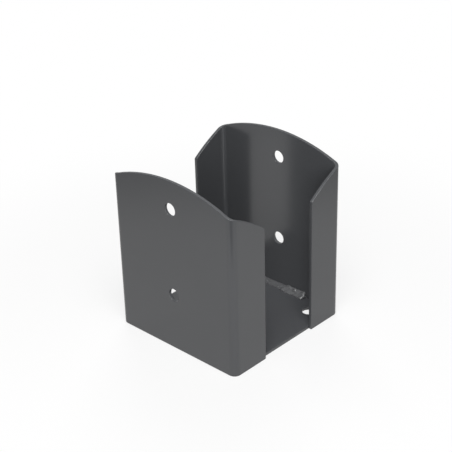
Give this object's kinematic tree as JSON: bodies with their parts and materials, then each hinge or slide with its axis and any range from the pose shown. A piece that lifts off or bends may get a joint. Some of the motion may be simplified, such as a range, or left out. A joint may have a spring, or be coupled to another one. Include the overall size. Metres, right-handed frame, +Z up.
{
  "type": "post base",
  "caption": "Welded sheet-steel socket for a square timber post: facing folded side channels with arched tops and bolt holes, on a base plate with anchor holes.",
  "frame": {"origin": "middle of the underside of the base plate", "axes": "+Z up out of the socket, +Y from the front wall to the back wall, +X along the walls"},
  "size_m": [0.095, 0.095, 0.111],
  "materials": {
    "coated_sheet": "semi-gloss black powder coat",
    "coated_weld": "semi-gloss black powder coat over a rippled weld"
  },
  "bodies": {
    "root": {"front_side": "coated_sheet", "back_side": "coated_sheet", "base_plate": "coated_sheet", "front_weld": "coated_weld", "back_weld": "coated_weld"}
  },
  "joints": []
}
